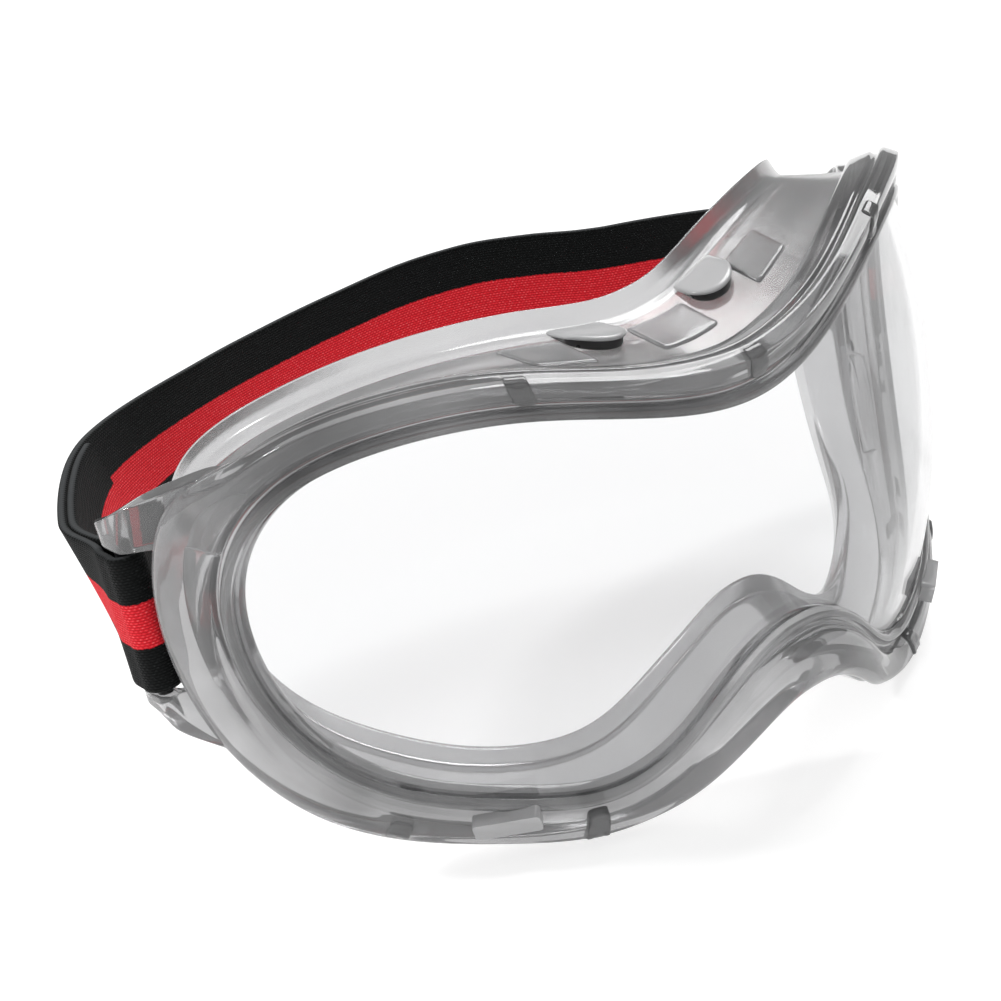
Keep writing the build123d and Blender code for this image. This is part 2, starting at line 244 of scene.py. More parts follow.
def tube(name, rings, uv=None):
    """A closed shape from rings of points, each joined to the next, with a face on either end."""
    points, columns = np.concatenate(rings), len(rings[0])
    faces = grid_faces(len(rings), columns, False, True)
    faces.append(tuple(range(columns)))
    faces.append(tuple(range(len(points) - 1, len(points) - columns - 1, -1)))
    obj = mesh_object(name, points, faces, uv)
    outward(obj)
    return obj


def fit_out(obj, body, slot, material, *nodes):
    """Gives a piece its finish and its body, and hides the CAD nodes that it replaces. Its slot is
    not used.
    """
    obj.data.materials.clear()
    obj.data.materials.append(material)
    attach(obj, body)
    if nodes:
        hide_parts(*nodes)


# ---- the frame's ring ---------------------------------------------------------------------------
def full_ring():
    """Stations all the way round: down the left half, then up its mirror image."""
    half = [np.array([*o, *w, *e, s], float) for o, w, e, s in STATIONS]
    flip = np.array([-1, 1, -1, 1, -1, 1, 1, 1.0])
    return np.array(half + [row * flip for row in half[-2:0:-1]])


ROWS = full_ring()
_solid = np.concatenate([front_point(ROWS[:, 0], ROWS[:, 1]), ROWS[:, 4:7]], 1)
_steps = np.linalg.norm(np.roll(_solid, -1, 0) - _solid, axis=1)
KNOTS = np.concatenate([[0], np.cumsum(_steps)])
PERIOD = KNOTS[-1]


def ring_at(t):
    """The frame at places t along the ring: the rim's inner edge, the directions across it and
    out of it, its width, the face edge, and the outer and window edges as (arc, height)."""
    v = periodic_spline(KNOTS, ROWS, t)
    outer, window, edge, share = v[:, 0:2], v[:, 2:4], v[:, 4:7], np.clip(v[:, 7], 0, 1)
    start = front_point(window[:, 0], window[:, 1])
    end = front_point(outer[:, 0], outer[:, 1], NOSE_LIFT * share)
    across = unit(end - start)
    normal = front_normal(window[:, 0], window[:, 1])
    out = unit(normal - across * np.sum(normal * across, 1, keepdims=True))
    return {"start": start, "across": across, "out": out, "edge": edge, "outer": outer,
            "window": window, "width": np.linalg.norm(end - start, axis=1)}


T = np.linspace(0, PERIOD, RING, endpoint=False)
R = ring_at(T)


def place(ring, a, b):
    """Points at distance a across the rim and b out of it, one row per ring sample."""
    return ring["start"][:, None] + ring["across"][:, None] * a[..., None] \
        + ring["out"][:, None] * b[..., None]


# ---- rim with its lugs --------------------------------------------------------------------------
# extra width at the temples, of the whole band and of its rear half
TEMPLE_BAND, TEMPLE_REACH = 4.0, 0.8
# the stations between which that width comes, and between which it goes again
TEMPLE_FROM, TEMPLE_FULL, TEMPLE_FADES, TEMPLE_END = KNOTS[5], KNOTS[6], KNOTS[8], KNOTS[11]


def rim_rows():
    """The rim's section at every place: lip, front band, outer groove, rear step, lens groove."""
    rows_a, rows_b = [], []
    from_brow = np.minimum(T, PERIOD - T)
    swell = smooth((from_brow - TEMPLE_FROM) / (TEMPLE_FULL - TEMPLE_FROM)) \
        * (1 - smooth((from_brow - TEMPLE_FADES) / (TEMPLE_END - TEMPLE_FADES)))
    for w, reach in zip(R["width"] + TEMPLE_BAND * swell, TEMPLE_REACH * swell):
        outline = [
            (0.0, -2.75), (0.75, -1.75), (1.95, -1.75), (2.6, -3.0), (3.4, -3.0), (3.9, -1.1),
            (5.2, -0.15), ((5.2 + w) / 2, 0.55), (w - 1.6, 0.1), (w - 0.1, -1.6), (w - 0.05, -2.5),
            (w - 0.75, -2.9), (w - 0.75, -3.6), (w + 0.1 + reach, -4.1), (w + 0.15 + reach, -8.3),
            (w - 1.0, -9.5), (w - 4.3, -9.5), (w - 4.3, -7.4), (0.0, -7.4), (0.0, -5.45),
            (2.25, -5.45), (2.25, -3.15), (0.0, -3.15),
        ]
        radii = [0.2, 0.5, 0.5, 0.35, 0.35, 0.7, 1.2, 3, 1.6, 0.7, 0.4, 0.3, 0.3, 0.5, 1.0, 0.8,
                 0.5, 0.3, 0.6, 0.1, 0.1, 0.1, 0.1]
        pts = rounded(outline, radii, 4)
        rows_a.append(pts[:, 0])
        rows_b.append(pts[:, 1])
    return place(R, np.array(rows_a), np.array(rows_b))


def lug_arm(sections, side):
    """An arm lofted on a smooth path through rounded rectangles, for one side of the frame."""
    tops = np.array([section[0] for section in sections], float)
    bottoms = np.array([section[1] for section in sections], float)
    paths = unit(np.gradient((tops + bottoms) / 2, axis=0))
    rows = []
    for top, bottom, path, (_, _, thick) in zip(tops, bottoms, paths, sections):
        down = unit(bottom - top)
        inward = unit(np.cross(path, down))
        inward *= -1 if inward[0] > 0 else 1
        span = np.linalg.norm(bottom - top)
        shape = rounded([(0, 0), (span, 0), (span, thick), (0, thick)], 0.55, 5)
        rows.append(top + down * shape[:, :1] + inward * shape[:, 1:])
    rows = np.array(rows)
    knots = np.arange(len(rows))
    fine = np.linspace(0, knots[-1], 8 * knots[-1] + 1)
    result = np.zeros((len(fine), rows.shape[1], 3))
    for j in range(rows.shape[1]):
        for axis in range(3):
            result[:, j, axis] = hermite(knots, rows[:, j, axis], fine)
    result[..., 0] *= side
    return tube("arm", result)


# the sections of each arm, front to back: top and bottom point of the outer face, then thickness
UPPER_ARM = [
    (front_point(94, 18.5, -4.3), front_point(104.5, 6.2, -4.3), 3.9),
    (front_point(99, 18.9, -4.3), front_point(110, 6.2, -4.3), 3.9),
    ((78.0, 61.5, 16.2), (80.6, 66.8, 6.05), 4.0),
    ((83.2, 69.0, 13.9), (83.9, 71.2, 6.05), 4.2),
    ((83.6, 76.0, 11.1), (83.6, 76.0, 6.05), 3.6),
    ((82.0, 80.5, 9.8), (82.0, 80.5, 6.1), 2.8),
]
LOWER_ARM = [
    (front_point(105.5, -21.3, -4.3), front_point(97.5, -38, -4.3), 3.9),
    (front_point(113.3, -21.3, -4.3), front_point(104.5, -40, -4.3), 3.9),
    ((80.3, 69.0, -20.65), (77.6, 64.9, -32.0), 4.0),
    ((83.9, 72.4, -20.65), (83.4, 71.2, -26.4), 4.2),
    ((83.6, 77.0, -20.65), (83.5, 77.0, -23.8), 3.6),
    ((82.0, 80.8, -20.7), (82.0, 80.8, -23.1), 2.8),
]


def make_rim():
    rim = ring_object("frame_rim", rim_rows())
    arms = []
    for side in (1, -1):
        arms.append(lug_arm(UPPER_ARM, side))
        arms.append(lug_arm(LOWER_ARM, side))
    united(rim, arms)
    shade(rim, 38)
    return rim


# ---- skirt --------------------------------------------------------------------------------------
WALL, FLANGE, FLARE_TOP, FLARE_BOTTOM = 1.7, 1.2, 6.5, 5.0
FLANGE_BACK = 1.5                    # how far back the flange's tip reaches
HEAD_TURN = 1.45                     # how much the flange turns to the head, over a plain cylinder
ROOT_IN, ROOT_DEPTH = 2.7, 9.2       # the wall's root: in from the rim's outer edge, and behind it
FOOT_OUT, FOOT_UP = 2.2, FLANGE + 0.1    # where the wall's outer face meets the flange


def skirt_axes(t, ring):
    """The directions and distances that the skirt's section is drawn with, at places t."""
    edge = ring["edge"]
    step = PERIOD / 2000
    tangent = unit(ring_at(t + step)["edge"] - ring_at(t - step)["edge"])
    share = 1 - np.abs(1 - 2 * np.mod(t, PERIOD) / PERIOD)
    flare = (FLARE_TOP * (1 - share) + FLARE_BOTTOM * share)[:, None]
    turn = np.arctan2(edge[:, 0], PLAN) * HEAD_TURN
    head = np.stack([-np.sin(turn), np.cos(turn), 0 * turn], 1)
    outer = unit(np.cross(tangent, head))
    tip = edge + outer * flare + head * FLANGE_BACK
    flange = unit(tip - edge)
    root = ring["start"] + ring["across"] * (ring["width"][:, None] - ROOT_IN) \
        - ring["out"] * ROOT_DEPTH
    wall = root - edge
    forward = unit(wall - flange * np.sum(wall * flange, 1, keepdims=True))
    reach_a, reach_c = np.sum(wall * flange, 1), np.sum(wall * forward, 1)
    length = np.hypot(reach_a, reach_c)
    return {"edge": edge, "flange": flange, "forward": forward,
            "tip": np.linalg.norm(tip - edge, axis=1),
            "a": reach_a, "c": reach_c, "sa": reach_c / length, "sc": -reach_a / length}


def skirt_rows(t, ring):
    k = skirt_axes(t, ring)
    half = WALL / 2
    rows = []
    for i in range(len(t)):
        sa, sc, a, c, tip = k["sa"][i], k["sc"][i], k["a"][i], k["c"][i], k["tip"][i]
        outline = [
            (0, 0), (tip, -0.25), (tip + 0.1, 0.35), (half * sa + FOOT_OUT, FOOT_UP),
            (a + half * sa, c + half * sc), (a - half * sa, c - half * sc), (-half * sa, 1.7),
        ]
        pts = rounded(outline, [0.7, 0.35, 0.35, 2.6, 0.2, 0.2, 1.6], 6)
        rows.append(k["edge"][i] + k["flange"][i] * pts[:, :1] + k["forward"][i] * pts[:, 1:])
    return np.array(rows)


class Deck:
    """The outer face of the skirt's wall: u along the ring from a given place, v back from the
    rim, both in mm."""

    def __init__(self, t0):
        self.t0 = t0
        ends = [self.lines(np.array([t0 + d]))[0][0] for d in (-0.5, 0.5)]
        self.rate = 1.0 / np.linalg.norm(ends[1] - ends[0])

    @staticmethod
    def lines(t):
        k = skirt_axes(t, ring_at(t))
        half = WALL / 2
        front = k["edge"] + k["flange"] * (k["a"] + half * k["sa"])[:, None] \
            + k["forward"] * (k["c"] + half * k["sc"])[:, None]
        back = k["edge"] + k["flange"] * (half * k["sa"] + FOOT_OUT)[:, None] \
            + k["forward"] * FOOT_UP
        return (front + back) / 2, front, back

    def points(self, u, v, height):
        t = self.t0 + np.asarray(u) * self.rate
        _, front, back = self.lines(t)
        way = unit(back - front)
        step = 0.4
        _, before, before_back = self.lines(t - step)
        _, after, after_back = self.lines(t + step)
        share = (np.asarray(v) / np.linalg.norm(back - front, axis=1))[:, None]
        along = (after + (after_back - after) * share) \
            - (before + (before_back - before) * share)
        normal = unit(np.cross(way, along))
        normal *= np.where(normal[:, 2:3] < 0, -1, 1)
        return front + way * np.asarray(v)[:, None] + normal * np.asarray(height)[:, None]


def deck_at(x):
    """Ring place at the brow where the middle of the deck is at x."""
    t = np.linspace(-PERIOD / 5, PERIOD / 5, 801)
    middle = Deck.lines(t)[0]
    return float(np.interp(x, middle[:, 0], t))


HOOD_X, HOOD_V = 12.5, 15.2          # the hoods' places on the deck: across, and back from the rim
HOOD_HALF, HOOD_FRONT, HOOD_BACK = 5.2, -4.6, 5.2
HOOD_TALL, HOOD_FALL = 2.3, 0.6      # height at the front, and the share of it lost at the back
HOOD_LIP = 0.72                      # thickness of the lip over the dark sheet of painted shadow under it


def make_hood(name, shadow_sheet_name, x):
    """A tongue over the vent slots, round in front and undercut, and a dark sheet of painted shadow
    under it.
    """
    deck = Deck(deck_at(x))
    half, front, back = HOOD_HALF, HOOD_FRONT, HOOD_BACK
    outline = [(half * math.cos(a), front + half + half * math.sin(a))
               for a in np.linspace(math.pi, 2 * math.pi, 23)]
    outline += [(half, y) for y in np.linspace(front + half, back - 1.2, 9)[1:]]
    outline += [(half - 0.35, back - 0.35)]
    outline += [(across, back) for across in np.linspace(half - 1.2, 1.2 - half, 13)]
    outline += [(0.35 - half, back - 0.35)]
    outline += [(-half, y) for y in np.linspace(back - 1.2, front + half, 9)[:-1]]
    outline = np.array(outline)
    centre = np.array([0, 0.6])

    def shrunk(inset):
        """The outline drawn in towards its centre, as u, v and the hood's height there."""
        flat = outline + (centre - outline) * inset
        fall = smooth((flat[:, 1] - front) / (back - front))
        return flat[:, 0], HOOD_V + flat[:, 1], HOOD_TALL * (1 - HOOD_FALL * fall)

    rings = []
    for inset, drop in ((0.98, 0), (0.75, 0), (0.5, 0), (0.25, 0.0), (0.12, 0.04), (0.04, 0.16),
                        (0, 0.36), (0.0, 0.62), (0.02, 0.74), (0.3, 0.78)):
        u, v, top = shrunk(inset)
        rings.append(deck.points(u, v, top - drop))
    hood = tube(name, rings)
    shade(hood, 50)
    # the dark sheet in the gap under the lip is painted shadow: the real hood has only shade there
    rings = []
    for inset, share in ((0.2, -0.2), (0.2, 0.9), (0.18, 1), (0.11, 1), (0.09, 0.9), (0.09, -0.2)):
        u, v, top = shrunk(inset)
        rings.append(deck.points(u, v, (top - HOOD_LIP) * share))
    shadow_sheet = ring_object(shadow_sheet_name, np.array(rings))
    shade(shadow_sheet, 50)
    return hood, shadow_sheet


PANEL_V, PANEL_HALF, PANEL_TALL = 11.5, 4.9, 0.4     # back from the rim, half length and height
PANELS = {"left": (22.5, 5.4), "centre": (0, 6.0), "right": (-22.5, 5.4)}    # x and half width


def make_panel(name, x, half):
    """A low raised panel on the deck."""
    deck = Deck(deck_at(x))
    corners = [(-half, -PANEL_HALF), (half, -PANEL_HALF), (half, PANEL_HALF), (-half, PANEL_HALF)]
    outline = densified(rounded(corners, 0.9, 6), 0.8)
    tall = PANEL_TALL
    rings = []
    for scale, height in ((0.02, tall), (0.3, tall), (0.6, tall), (0.85, tall),
                          (0.94, tall - 0.02), (0.985, tall - 0.15), (1.0, tall * 0.35),
                          (1.01, -0.3)):
        flat = outline * scale
        rings.append(deck.points(flat[:, 0], PANEL_V + flat[:, 1], np.full(len(flat), height)))
    panel = tube(name, rings)
    shade(panel, 60)
    return panel


# ---- tabs on the rim ----------------------------------------------------------------------------
TAB_HALF, TAB_DROP, TAB_STAND = 1.8, 5.2, 0.5     # half width, reach over the band, stand above it
# the place of each tab on the rim's outer edge: arc and height
TABS = {
    "upper_left": (41, 28.3), "upper_centre": (0, 19.5), "upper_right": (-41, 28.3),
    "lower_left_outer": (85.5, -52), "lower_left_inner": (47.5, -59),
    "lower_right_outer": (-85.5, -52), "lower_right_inner": (-47.5, -59),
}


def make_tab(name, arc, height):
    """A small tab that hangs from the rim's outer groove over its front band."""
    outer = R["outer"]
    nearest = int(np.argmin(np.hypot(outer[:, 0] - arc, outer[:, 1] - height)))
    ends = R["start"][(nearest + 1) % RING] - R["start"][nearest - 1]
    rate = 2 * PERIOD / RING / np.linalg.norm(ends)
    width = R["width"][nearest]
    top_a = width - 0.5
    corners = [(-TAB_HALF, top_a - TAB_DROP), (TAB_HALF, top_a - TAB_DROP), (TAB_HALF, top_a),
               (-TAB_HALF, top_a)]
    outline = densified(rounded(corners, [1.3, 1.3, 0.4, 0.4], 6), 0.4)
    centre = np.array([0, top_a - TAB_DROP / 2])
    # the rim's front band, which the tab follows
    shape_a = [3.9, 5.2, (5.2 + width) / 2, width - 1.6, width - 0.1]
    shape_b = [-1.1, -0.2, 0.35, 0.0, -1.5]
    rings = []
    for scale, stand in ((0.03, 1), (0.35, 1), (0.65, 1), (0.85, 1), (0.94, 0.85), (0.99, 0.4),
                         (1.0, -0.5), (1.0, -3.0)):
        flat = centre + (outline - centre) * scale
        ring = ring_at(T[nearest] + flat[:, 0] * rate)
        out = np.interp(flat[:, 1], shape_a, shape_b) + TAB_STAND * stand
        rings.append(ring["start"] + ring["across"] * flat[:, 1:] + ring["out"] * out[:, None])
    tab = tube(name, rings)
    shade(tab, 50)
    return tab


# ---- lens ---------------------------------------------------------------------------------------
def make_lens():
    """The toric pane, as a fine grid between its upper and lower outlines."""
    t = np.linspace(0, PERIOD, 1600, endpoint=False)
    ring = ring_at(t)
    window, outer = ring["window"], ring["outer"]
    way = unit(outer - window)
    rim = window + way * (LENS_BITE - LENS_PLAY)
    left = int(np.argmin(rim[:, 0]))
    right = int(np.argmax(rim[:, 0]))
    upper = np.concatenate([rim[left:], rim[:right + 1]])
    lower = rim[right:left + 1][::-1]
    columns, rows = 301, 91
    spread = (1 - np.cos(np.linspace(0, math.pi, columns))) / 2
    arc = rim[left, 0] + (rim[right, 0] - rim[left, 0]) * spread
    arc[0], arc[-1] = rim[left, 0], rim[right, 0]
    top = np.interp(arc, upper[:, 0], upper[:, 1])
    bottom = np.interp(arc, lower[:, 0], lower[:, 1])
    share = np.linspace(0, 1, rows)
    arcs = np.repeat(arc[:, None], rows, 1)
    heights = bottom[:, None] + (top - bottom)[:, None] * share
    front = front_point(arcs, heights, LENS_FRONT)
    rear = front_point(arcs, heights, LENS_FRONT - LENS_THICKNESS)
    points = np.concatenate([front.reshape(-1, 3), rear.reshape(-1, 3)])
    size = columns * rows
    faces = grid_faces(columns, rows) + [f[::-1] for f in grid_faces(columns, rows, first=size)]
    border = [(i, 0) for i in range(columns)] + [(columns - 1, j) for j in range(1, rows)] \
        + [(i, rows - 1) for i in range(columns - 2, -1, -1)] \
        + [(0, j) for j in range(rows - 2, 0, -1)]
    index = [i * rows + j for i, j in border]
    for a, b in zip(index, index[1:] + index[:1]):
        faces.append((a, b, size + b, size + a))
    obj = mesh_object("lens_pane", points, faces)
    # the two ends of the grid shrink to a point each
    bm = bmesh.new()
    bm.from_mesh(obj.data)
    bmesh.ops.remove_doubles(bm, verts=bm.verts, dist=0.02 * MM)
    bm.to_mesh(obj.data)
    bm.free()
    outward(obj)
    shade(obj, 30)
    return obj


# ---- strap --------------------------------------------------------------------------------------
STRAP_WIDTH, WEB = 25.0, 1.6
STRAP_R, STRAP_Y, STRAP_Z = 85.6, 53.4, -7.3
BAR_Y, BAR_INSET = 75.5, 1.6         # the bars, and how far inside the strap's arc they are
BAR_ANGLE = math.asin((BAR_Y - STRAP_Y) / STRAP_R)
STRAP_LENGTH = STRAP_R * (math.pi - 2 * BAR_ANGLE)
FOLD_END = 46.0                      # where the sewn fold ends, from the right bar
SLIDER_PLACE = 17.0                  # the slider's middle, from the left bar
BAR_REACH, BAR_FRONT = 2.6, 1.5      # the fold's radius, and how far before the bar it centres
BAR_NEAR = 12.0                      # beyond this distance from a bar the layers lie flat


def strap_plan(along, lift):
    """Plan point at a distance from the left bar round the back, lifted outward from the arc."""
    angle = BAR_ANGLE + np.asarray(along) / STRAP_R
    reach = STRAP_R + np.asarray(lift)
    return np.stack([reach * np.cos(angle), STRAP_Y + reach * np.sin(angle)], -1)


def strap_relief(along, height):
    """How the soft band departs from its plain arc: it bulges and leans out behind the right
    lug, and leans in behind the head."""
    from_left = np.asarray(along)
    from_right = STRAP_LENGTH - from_left
    bulge = 1.9 * smooth((from_right - 4) / 14) * (1 - smooth((from_right - 40) / 50))
    lean = 3.0 * smooth((from_right - 4) / 16) * (1 - smooth((from_right - 38) / 45))
    back = -2.0 * smooth((from_right - 50) / 40) * smooth((from_left - 56) / 50)
    return bulge + (lean + back) * height / (STRAP_WIDTH / 2)


# how much higher the band rides, by distance from the right bar: not at all by the slider
RISE_AT = (-9, 8, 50, 84, 102, 118, 134, 146, 160, 171, 176, 234)
RISE = (0, 0, 4.3, 3.9, 3.5, 3.7, 4.2, 3.8, 2.0, 0.3, 0, 0)


def strap_rise(along):
    """How much higher the soft band rides behind the head than at its bars."""
    return hermite(RISE_AT, RISE, STRAP_LENGTH - np.asarray(along, float))


def ribbon(name, path, soft=True, thick=WEB):
    """Webbing along a path of (along, lift) middle points, woven edge to woven edge. Its UVs run
    along it and across it, 1 to 100 mm. Soft webbing takes the strap's relief and rise."""
    path = np.array(path, float)
    plan = strap_plan(path[:, 0], path[:, 1])
    tangent = np.gradient(plan, axis=0)
    normal = unit(np.stack([tangent[:, 1], -tangent[:, 0]], 1))
    radial = unit(plan - np.array([0, STRAP_Y]))
    length = np.concatenate([[0], np.cumsum(np.linalg.norm(np.diff(plan, axis=0), axis=1))])
    across = np.linspace(-1, 1, 27)
    half = STRAP_WIDTH / 2
    section = [(z * (half - 0.35), thick / 2) for z in across]
    section += [(half - 0.1, thick * 0.32), (half, 0), (half - 0.1, -thick * 0.32)]
    section += [(z * (half - 0.35), -thick / 2) for z in across[::-1]]
    section += [(0.1 - half, -thick * 0.32), (-half, 0), (0.1 - half, thick * 0.32)]
    rows = np.zeros((len(path), len(section), 3))
    uv = np.zeros((len(path), len(section), 2))
    for j, (z, d) in enumerate(section):
        out = strap_relief(path[:, 0], z) if soft else np.zeros(len(path))
        rows[:, j, :2] = plan + normal * d + radial * out[:, None]
        rows[:, j, 2] = STRAP_Z + z + (strap_rise(path[:, 0]) if soft else 0)
        uv[:, j, 0] = length * MM * 10
        uv[:, j, 1] = z * MM * 10
    obj = tube(name, rows, uv.reshape(-1, 2))
    shade(obj, 60)
    return obj


def around_bar(bar_along, direction):
    """Path points round a bar, from the inner layer to the outer layer."""
    turn = np.linspace(-math.pi / 2, math.pi / 2, 25)
    return [(bar_along - direction * (BAR_FRONT + BAR_REACH * math.cos(a)),
             BAR_REACH * math.sin(a) - BAR_INSET) for a in turn]


def layer(distance, outer):
    """Lift of a layer's middle at a distance back from the bar: it closes on the other layer."""
    meet = WEB / 2 + 0.06
    apart = 1 - smooth((distance - 1) / 9)
    if not outer:
        return -meet - (BAR_INSET + BAR_REACH - meet) * apart
    ridge = 0.65 * smooth((distance + BAR_FRONT) / 4.5) * (1 - smooth((distance - 3.5) / 9))
    return meet + ridge - (meet - BAR_REACH + BAR_INSET) * apart


def make_strap():
    """One ribbon: the sewn fold, round the right bar, round the head, and round the left bar."""
    right, flat = STRAP_LENGTH, BAR_NEAR
    near = np.linspace(-BAR_FRONT, flat, 24)[1:]
    path = [(s, layer(right - s, False)) for s in np.linspace(right - FOLD_END, right - flat, 56)]
    path += [(right - d, layer(d, False)) for d in near[:-1][::-1]]
    path += around_bar(right, -1)
    path += [(right - d, layer(d, True)) for d in near]
    path += [(s, layer(flat, True)) for s in np.linspace(right - flat, flat, 250)[1:-1]]
    path += [(d, layer(d, True)) for d in near[::-1]]
    path += around_bar(0, 1)[::-1]
    path += [(d, layer(d, False)) for d in near]
    return ribbon("strap_webbing", path)


def make_threads():
    """Bar tacks through the sewn fold: short zigzags of thread lying on the outer face."""
    rows, tack_start, tack_length, half, swing = 6, FOLD_END - 1.0, 6.0, 0.2, 0.45
    points, faces = [], []
    for row in range(rows):
        middle = (row - (rows - 1) / 2) * STRAP_WIDTH / rows
        first = len(points)
        steps = np.linspace(0, tack_length, 15)
        for k, step in enumerate(steps):
            along = STRAP_LENGTH - tack_start + step
            height = middle + (swing if k % 2 else -swing)
            lift = WEB + 0.12 + strap_relief(along, height)
            for dz, dl in ((-half, -0.1), (half, -0.1), (half * 0.7, 0.12),
                           (-half * 0.7, 0.12)):
                plan = strap_plan(along, lift + dl)
                points.append((*plan, STRAP_Z + height + dz + strap_rise(along)))
        faces += grid_faces(len(steps), 4, False, True, first)
        faces.append(tuple(range(first, first + 4)))
        faces.append(tuple(range(len(points) - 1, len(points) - 5, -1)))
    obj = mesh_object("strap_threads", points, faces)
    outward(obj)
    shade(obj, 50)
    return obj


def make_slider_loop():
    """The strap's fixed end, folded round the slider's centre bar and sewn to itself."""
    bar_lift, half_gap, nose, tail, points = -2.6, 1.35, 1.56, 4.4, 8
    back = np.linspace(SLIDER_PLACE - tail, SLIDER_PLACE, points)
    wrap = [(s, bar_lift + half_gap) for s in back]
    wrap += [(SLIDER_PLACE + nose * math.cos(a), bar_lift + half_gap * math.sin(a))
             for a in np.linspace(math.pi / 2, -math.pi / 2, 21)[1:]]
    wrap += [(s, bar_lift - half_gap) for s in back[::-1][1:]]
    return ribbon("slider_webbing_loop", wrap, soft=False, thick=1.0)


# ---- materials ----------------------------------------------------------------------------------
def new_material(name):
    material = bpy.data.materials.new(name)
    material.use_nodes = True
    tree = material.node_tree
    shader = next(n for n in tree.nodes if n.type == "BSDF_PRINCIPLED")
    return material, tree, shader


def node(tree, kind, **values):
    """A new node with some of its settings made."""
    made = tree.nodes.new(kind)
    for key, value in values.items():
        setattr(made, key, value)
    return made


def noise(tree, scale, detail=3.0, roughness=0.5, coords=None):
    made = node(tree, "ShaderNodeTexNoise")
    made.inputs["Scale"].default_value = scale
    made.inputs["Detail"].default_value = detail
    made.inputs["Roughness"].default_value = roughness
    if coords is None:
        coords = node(tree, "ShaderNodeTexCoord").outputs["Object"]
    tree.links.new(coords, made.inputs["Vector"])
    return made


def ramp(tree, source, stops):
    """A colour ramp over a source, with its stops as (position, colour)."""
    made = node(tree, "ShaderNodeValToRGB")
    elements = made.color_ramp.elements
    for element, (position, colour) in zip(elements, (stops[0], stops[-1])):
        element.position, element.color = position, (*colour, 1)
    for position, colour in stops[1:-1]:
        elements.new(position).color = (*colour, 1)
    tree.links.new(source, made.inputs["Fac"])
    return made


def bump(tree, shader, height, strength, distance):
    made = node(tree, "ShaderNodeBump")
    made.inputs["Strength"].default_value = strength
    made.inputs["Distance"].default_value = distance
    tree.links.new(height, made.inputs["Height"])
    tree.links.new(made.outputs["Normal"], shader.inputs["Normal"])


def vary_roughness(tree, shader, source, found, wanted):
    """Roughness from a noise: the two values found in it become the two wanted."""
    spread = node(tree, "ShaderNodeMapRange")
    spread.inputs["From Min"].default_value, spread.inputs["From Max"].default_value = found
    spread.inputs["To Min"].default_value, spread.inputs["To Max"].default_value = wanted
    tree.links.new(source.outputs["Fac"], spread.inputs["Value"])
    tree.links.new(spread.outputs["Result"], shader.inputs["Roughness"])


def grey(value):
    return (value, value, value * 1.01)


def soft_pvc(name, dark, light, transmission, rough):
    """Clouded see-through PVC: mottled depth, a fine orange peel and a satin face."""
    material, tree, shader = new_material(name)
    clouds = noise(tree, 34, 3, 0.5)
    tone = ramp(tree, clouds.outputs["Fac"], [(0.25, grey(dark)), (0.75, grey(light))])
    tree.links.new(tone.outputs["Color"], shader.inputs["Base Color"])
    shader.inputs["Transmission Weight"].default_value = transmission
    shader.inputs["IOR"].default_value = 1.46
    patches = noise(tree, 120, 3, 0.6)
    vary_roughness(tree, shader, patches, (0.3, 0.7), (rough * 0.8, rough * 1.25))
    peel = noise(tree, 350, 2, 0.5)
    bump(tree, shader, peel.outputs["Fac"], 0.10, 0.0002)
    return material


def clear_lens():
    """Clear polycarbonate with a slight grey tint and faint smears."""
    material, tree, shader = new_material("lens_polycarbonate")
    shader.inputs["Base Color"].default_value = (0.775, 0.778, 0.783, 1)
    shader.inputs["Transmission Weight"].default_value = 1.0
    shader.inputs["IOR"].default_value = 1.5
    smear = noise(tree, 60, 2, 0.5)
    vary_roughness(tree, shader, smear, (0.45, 0.8), (0.0, 0.02))
    return material


FACTOR_IN, FIRST_IN, SECOND_IN, COLOUR_OUT = 0, 6, 7, 2     # a colour Mix node's sockets
STRIPE_EDGE, SELVEDGE = 0.0400, 0.1232       # half widths in UV units, 100 mm each
KNIT_ROWS, KNIT_STITCHES = 100 / 0.5, 100 / 0.7     # rows and stitches to a UV unit


